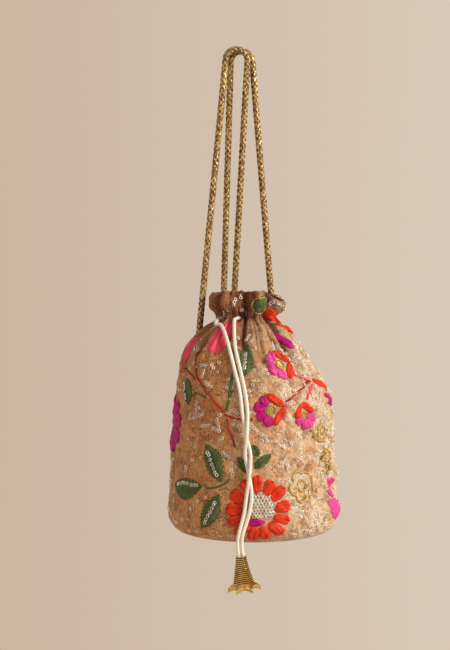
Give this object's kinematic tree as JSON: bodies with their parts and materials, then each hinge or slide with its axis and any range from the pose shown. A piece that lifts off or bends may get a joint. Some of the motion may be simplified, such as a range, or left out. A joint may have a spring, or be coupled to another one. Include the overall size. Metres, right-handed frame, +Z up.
{
  "type": "potli bag",
  "caption": "Embroidered drawstring pouch with a gathered neck, ruffled heading, rope handles and a fluted brass bell on its cord",
  "frame": {"origin": "where a finger or a hook bears, under the top of the two rope handles", "axes": "+Z up along the hanging pouch, +X to the right and -Y towards a viewer of the front, where the drawstring hangs"},
  "size_m": [0.1347, 0.1504, 0.4195],
  "materials": {
    "embroidered_cloth": "beige silk with embroidery",
    "lining_cloth": "plain satin",
    "card": "plain board",
    "gold_rope": "braided metallic yarn",
    "cream_cord": "smooth cord",
    "brass": "polished, ribbed",
    "orange_thread": "satin stitch",
    "coral_thread": "satin stitch",
    "pink_thread": "satin stitch",
    "magenta_thread": "satin stitch",
    "green_thread": "satin stitch",
    "red_thread": "chain stitch",
    "gold_thread": "metallic thread",
    "silver_sequins": "ring sequins"
  },
  "bodies": {
    "root": {"back_flower_centre": "magenta_thread", "back_flower_petals": "orange_thread", "back_leaf_left": "green_thread", "back_leaf_lower": "green_thread", "back_leaf_right": "green_thread", "back_small_flower_centre": "gold_thread", "back_small_flower_petals_a": "magenta_thread", "back_small_flower_petals_b": "orange_thread", "base_card": "card", "base_panel": "embroidered_cloth", "bell": "brass", "cloth_body": "embroidered_cloth", "drawstring": "cream_cord", "end_knot": "cream_cord", "flower_large_centre_foot": "magenta_thread", "flower_large_centre_top": "silver_sequins", "flower_large_petals": "orange_thread", "flower_middle_centre": "gold_thread", "flower_middle_petals_a": "orange_thread", "flower_middle_petals_b": "magenta_thread", "flower_right_centre": "gold_thread", "flower_right_petals_a": "orange_thread", "flower_right_petals_b": "pink_thread", "flower_upper_centre": "gold_thread", "flower_upper_petals_a": "orange_thread", "flower_upper_petals_b": "pink_thread", "gold_flower_lower": "gold_thread", "gold_flower_middle": "gold_thread", "gold_flower_upper": "gold_thread", "handle_back": "gold_rope", "handle_front": "gold_rope", "leaf_left_lower": "green_thread", "leaf_left_middle": "green_thread", "leaf_left_upper": "green_thread", "leaf_small_left": "green_thread", "leaf_small_right": "green_thread", "leaf_small_top": "green_thread", "leaf_upper_left": "green_thread", "leaf_upper_middle": "green_thread", "lining": "lining_cloth", "petal_foot_right": "pink_thread", "petal_neck_right": "orange_thread", "petal_shoulder_front": "coral_thread", "petal_shoulder_left": "coral_thread", "petal_shoulder_right": "magenta_thread", "petal_side_left_lower": "magenta_thread", "petal_side_left_upper": "magenta_thread", "petal_side_right_lower": "magenta_thread", "petal_side_right_upper": "orange_thread", "side_flower": "magenta_thread", "stem_left_lower": "red_thread", "stem_left_upper": "red_thread", "stem_right": "red_thread"}
  },
  "joints": []
}
